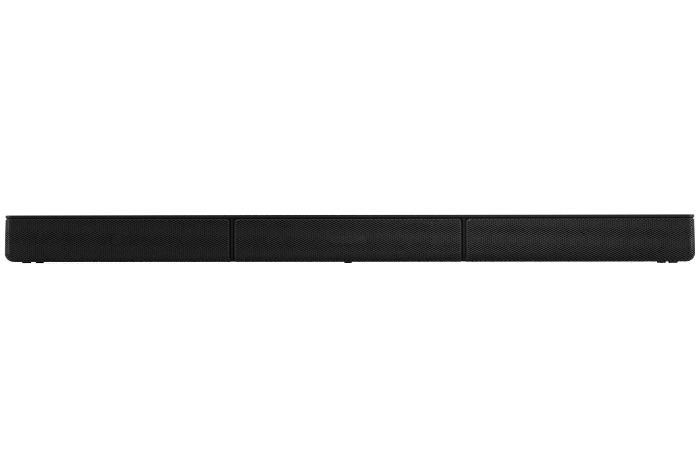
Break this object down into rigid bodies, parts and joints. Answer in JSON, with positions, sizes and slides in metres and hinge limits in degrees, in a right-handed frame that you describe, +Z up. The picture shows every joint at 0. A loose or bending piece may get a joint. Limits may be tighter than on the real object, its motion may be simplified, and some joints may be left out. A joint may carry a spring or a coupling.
{
  "type": "soundbar",
  "caption": "Long low soundbar with a perforated metal front in sections, top buttons, cone and dome drivers, and a recessed socket panel at the back.",
  "frame": {"origin": "under the middle of the bar, on the surface that it stands on", "axes": "+X along the bar to the listener's right, -Y out of the front grille, +Z up"},
  "size_m": [1, 0.1, 0.0698],
  "materials": {
    "grille_steel": "black powder coat, satin",
    "rib_plastic": "black, satin",
    "cover_plastic": "black, fine texture, satin",
    "key_plastic": "black, satin",
    "case_plastic": "black, moulded texture",
    "foam": "black closed-cell foam",
    "basket_steel": "black paint",
    "magnet_steel": "dark zinc plating",
    "cone_paper": "black coated paper",
    "suspension_rubber": "black, soft",
    "tweeter_plastic": "black, satin",
    "dome_fabric": "black coated silk",
    "screw_steel": "black zinc",
    "brass": "machined",
    "circuit_board": "green solder mask",
    "aluminium": "extruded, plain",
    "cable_jacket": "black",
    "socket_shell": "nickel plated",
    "socket_plastic": "black, moulded",
    "foot_rubber": "black, matt"
  },
  "bodies": {
    "cabinet": {"grille_left": "grille_steel", "grille_center": "grille_steel", "grille_right": "grille_steel", "divider_rib_left": "rib_plastic", "divider_rib_right": "rib_plastic", "top_cover": "cover_plastic", "enclosure": "case_plastic", "front_baffle": "case_plastic", "baffle_gasket": "foam", "grille_adhesive": "foam", "woofer_1_frame": "basket_steel", "woofer_2_frame": "basket_steel", "woofer_3_frame": "basket_steel", "woofer_4_frame": "basket_steel", "woofer_5_frame": "basket_steel", "woofer_6_frame": "basket_steel", "woofer_1_motor": "magnet_steel", "woofer_2_motor": "magnet_steel", "woofer_3_motor": "magnet_steel", "woofer_4_motor": "magnet_steel", "woofer_5_motor": "magnet_steel", "woofer_6_motor": "magnet_steel", "woofer_suspensions": "suspension_rubber", "tweeter_left_body": "tweeter_plastic", "tweeter_right_body": "tweeter_plastic", "driver_screws": "screw_steel", "baffle_screws": "screw_steel", "board_screws": "screw_steel", "control_board_screws": "screw_steel", "cover_screws": "screw_steel", "wall_bracket_inserts": "brass", "control_board": "circuit_board", "main_board": "circuit_board", "power_board": "circuit_board", "indicator_board": "circuit_board", "heatsink": "aluminium", "ribbon_cable": "cable_jacket", "speaker_wires": "cable_jacket", "hdmi_socket_1": "socket_shell", "hdmi_socket_2": "socket_shell", "usb_socket": "socket_shell", "optical_socket": "socket_plastic", "power_inlet": "socket_plastic", "corner_feet": "foot_rubber", "center_foot": "foot_rubber"},
    "power_button": {"power_button": "key_plastic"},
    "source_button": {"source_button": "key_plastic"},
    "volume_down_button": {"volume_down_button": "key_plastic"},
    "volume_up_button": {"volume_up_button": "key_plastic"},
    "pairing_button": {"pairing_button": "key_plastic"},
    "optical_shutter": {"optical_shutter": "socket_plastic"},
    "woofer_1_cone": {"woofer_1_cone": "cone_paper"},
    "woofer_2_cone": {"woofer_2_cone": "cone_paper"},
    "woofer_3_cone": {"woofer_3_cone": "cone_paper"},
    "woofer_4_cone": {"woofer_4_cone": "cone_paper"},
    "woofer_5_cone": {"woofer_5_cone": "cone_paper"},
    "woofer_6_cone": {"woofer_6_cone": "cone_paper"},
    "tweeter_left_dome": {"tweeter_left_dome": "dome_fabric"},
    "tweeter_right_dome": {"tweeter_right_dome": "dome_fabric"}
  },
  "joints": [
    {"name": "power_press", "type": "slide", "parent": "cabinet", "child": "power_button", "axis": [0, 0, -1], "range_m": [0, 0.0005], "stiffness_N_per_m": 800, "springref_m": -0.0005},
    {"name": "source_press", "type": "slide", "parent": "cabinet", "child": "source_button", "axis": [0, 0, -1], "range_m": [0, 0.0005], "stiffness_N_per_m": 800, "springref_m": -0.0005},
    {"name": "volume_down_press", "type": "slide", "parent": "cabinet", "child": "volume_down_button", "axis": [0, 0, -1], "range_m": [0, 0.0005], "stiffness_N_per_m": 800, "springref_m": -0.0005},
    {"name": "volume_up_press", "type": "slide", "parent": "cabinet", "child": "volume_up_button", "axis": [0, 0, -1], "range_m": [0, 0.0005], "stiffness_N_per_m": 800, "springref_m": -0.0005},
    {"name": "pairing_press", "type": "slide", "parent": "cabinet", "child": "pairing_button", "axis": [0, 0, -1], "range_m": [0, 0.0005], "stiffness_N_per_m": 800, "springref_m": -0.0005},
    {"name": "optical_shutter_swing", "type": "hinge", "parent": "cabinet", "child": "optical_shutter", "pos_m": [-0.032, 0.0318, 0.0338], "axis": [-1, 0, 0], "range_deg": [0, 80], "stiffness_Nm_per_rad": 0.0002, "springref_deg": -17.19},
    {"name": "woofer_1_travel", "type": "slide", "parent": "cabinet", "child": "woofer_1_cone", "axis": [0, -1, 0], "range_m": [-0.0025, 0.0025], "stiffness_N_per_m": 1250},
    {"name": "woofer_2_travel", "type": "slide", "parent": "cabinet", "child": "woofer_2_cone", "axis": [0, -1, 0], "range_m": [-0.0025, 0.0025], "stiffness_N_per_m": 1250},
    {"name": "woofer_3_travel", "type": "slide", "parent": "cabinet", "child": "woofer_3_cone", "axis": [0, -1, 0], "range_m": [-0.0025, 0.0025], "stiffness_N_per_m": 1250},
    {"name": "woofer_4_travel", "type": "slide", "parent": "cabinet", "child": "woofer_4_cone", "axis": [0, -1, 0], "range_m": [-0.0025, 0.0025], "stiffness_N_per_m": 1250},
    {"name": "woofer_5_travel", "type": "slide", "parent": "cabinet", "child": "woofer_5_cone", "axis": [0, -1, 0], "range_m": [-0.0025, 0.0025], "stiffness_N_per_m": 1250},
    {"name": "woofer_6_travel", "type": "slide", "parent": "cabinet", "child": "woofer_6_cone", "axis": [0, -1, 0], "range_m": [-0.0025, 0.0025], "stiffness_N_per_m": 1250},
    {"name": "tweeter_left_travel", "type": "slide", "parent": "cabinet", "child": "tweeter_left_dome", "axis": [0, -1, 0], "range_m": [-0.0003, 0.0003], "stiffness_N_per_m": 3000},
    {"name": "tweeter_right_travel", "type": "slide", "parent": "cabinet", "child": "tweeter_right_dome", "axis": [0, -1, 0], "range_m": [-0.0003, 0.0003], "stiffness_N_per_m": 3000}
  ]
}
